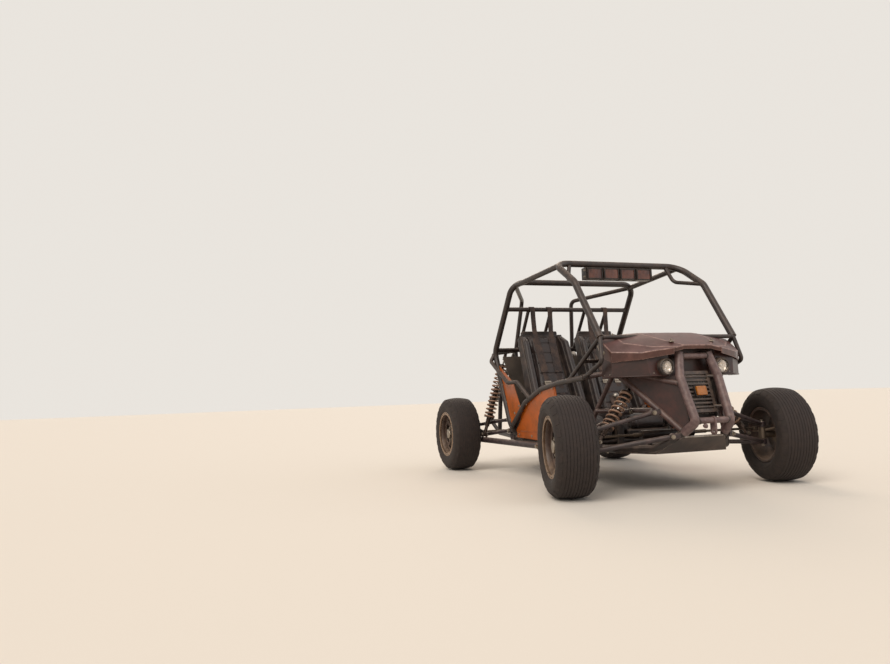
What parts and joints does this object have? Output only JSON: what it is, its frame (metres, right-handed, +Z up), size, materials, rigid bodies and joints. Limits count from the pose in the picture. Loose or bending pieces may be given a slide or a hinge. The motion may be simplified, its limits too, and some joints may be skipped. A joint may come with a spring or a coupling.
{
  "type": "dune buggy",
  "caption": "Open two-seat dune buggy with a tubular cage, working steering, free-rolling wheels and a rear engine in the open.",
  "frame": {"origin": "on the ground under the middle of the whole buggy's bounding box", "axes": "+X forward, +Y to the driver's left, +Z up from the ground"},
  "size_m": [2.9957, 2.0716, 1.695],
  "materials": {
    "cage_paint": "weathered dark brown powder coat",
    "bumper_paint": "sun-faded mauve grey powder coat",
    "frame_paint": "dark powder coat",
    "hood_paint": "weathered bronze brown gelcoat",
    "nose_plastic": "moulded dark plastic",
    "grille_paint": "dark powder coat",
    "orange_panel": "dusty orange paint",
    "skid_metal": "scuffed sheet",
    "firewall_metal": "brushed sheet",
    "dash_plastic": "grained",
    "seat_cover": "dark vinyl",
    "engine_metal": "sand-cast",
    "exhaust_metal": "heat-tinted",
    "air_box_plastic": "moulded",
    "radiator_metal": "finned, painted dark",
    "lamp_housing": "moulded",
    "lamp_lens": "clear",
    "roof_lens": "reddish lens covers",
    "amber_lens": "amber lens",
    "arm_paint": "dark powder coat",
    "shock_metal": "pale coil on a dark damper",
    "control_metal": "black painted steel with rubber pads",
    "tank_metal": "spun and brushed drum",
    "axle_steel": "machined",
    "rim_paint": "dark cast, bronze bead ring",
    "tyre_rubber": "dusty rubber"
  },
  "bodies": {
    "chassis": {"front_hoop": "cage_paint", "main_hoop": "cage_paint", "roof_rails": "cage_paint", "seat_back_bars": "cage_paint", "rear_stays": "cage_paint", "side_bars": "cage_paint", "dash_bars": "cage_paint", "lower_frame": "frame_paint", "front_frame": "frame_paint", "front_bumper": "bumper_paint", "rear_frame": "frame_paint", "hood": "hood_paint", "nose": "nose_plastic", "grille": "grille_paint", "radiator": "radiator_metal", "headlights": "lamp_lens", "marker_lamp": "amber_lens", "light_bar": "lamp_housing", "light_bar_lenses": "roof_lens", "side_panels": "orange_panel", "skid_plate": "skid_metal", "firewall": "firewall_metal", "dashboard": "dash_plastic", "seat_right": "seat_cover", "seat_left": "seat_cover", "engine": "engine_metal", "transaxle": "engine_metal", "exhaust": "exhaust_metal", "headlight_pods": "lamp_housing", "nose_cheeks": "nose_plastic", "rear_bumper": "frame_paint", "controls": "control_metal", "fuel_tank": "tank_metal", "air_box": "air_box_plastic", "front_lower_arms": "arm_paint", "front_upper_arms": "arm_paint", "front_shocks": "shock_metal", "rear_arms": "arm_paint", "rear_shocks": "shock_metal", "steering_column": "frame_paint"},
    "knuckle_right": {"knuckle_right": "axle_steel"},
    "knuckle_left": {"knuckle_left": "axle_steel"},
    "wheel_front_right": {"tyre_front_right": "tyre_rubber", "rim_front_right": "rim_paint"},
    "wheel_front_left": {"tyre_front_left": "tyre_rubber", "rim_front_left": "rim_paint"},
    "wheel_rear_right": {"tyre_rear_right": "tyre_rubber", "rim_rear_right": "rim_paint", "half_shaft_right": "axle_steel"},
    "wheel_rear_left": {"tyre_rear_left": "tyre_rubber", "rim_rear_left": "rim_paint", "half_shaft_left": "axle_steel"},
    "rack": {"steering_rack": "axle_steel"},
    "steering_wheel_body": {"steering_wheel": "dash_plastic"}
  },
  "joints": [
    {"name": "steer_right", "type": "hinge", "parent": "chassis", "child": "knuckle_right", "pos_m": [1.085, -0.735, 0.335], "axis": [0, 0, 1], "range_deg": [-16, 44]},
    {"name": "steer_left", "type": "hinge", "parent": "chassis", "child": "knuckle_left", "pos_m": [1.085, 0.735, 0.335], "axis": [0, 0, 1], "range_deg": [-16, 44]},
    {"name": "rack_slide", "type": "slide", "parent": "chassis", "child": "rack", "axis": [0, 1, 0], "range_m": [-0.0846, 0.0309]},
    {"name": "steering_wheel_turn", "type": "hinge", "parent": "chassis", "child": "steering_wheel_body", "pos_m": [0.445, 0.28, 0.95], "axis": [0.9063, 0, -0.4226], "range_deg": [-264.5, 96.5]},
    {"name": "spin_front_right", "type": "hinge", "parent": "knuckle_right", "child": "wheel_front_right", "pos_m": [1.0596, -0.83688, 0.335], "axis": [0.2419, 0.9703, 0], "continuous": true},
    {"name": "spin_front_left", "type": "hinge", "parent": "knuckle_left", "child": "wheel_front_left", "pos_m": [1.1104, 0.83688, 0.335], "axis": [0.2419, 0.9703, 0], "continuous": true},
    {"name": "spin_rear_right", "type": "hinge", "parent": "chassis", "child": "wheel_rear_right", "pos_m": [-1.085, -0.84, 0.335], "axis": [0, 1, 0], "continuous": true},
    {"name": "spin_rear_left", "type": "hinge", "parent": "chassis", "child": "wheel_rear_left", "pos_m": [-1.085, 0.84, 0.335], "axis": [0, 1, 0], "continuous": true}
  ],
  "couplings": [
    {"joint": "steer_left", "follows": "steer_right", "ratio": 1},
    {"joint": "rack_slide", "follows": "steer_right", "m_per_rad": -0.11},
    {"joint": "steering_wheel_turn", "follows": "steer_right", "ratio": -6}
  ]
}
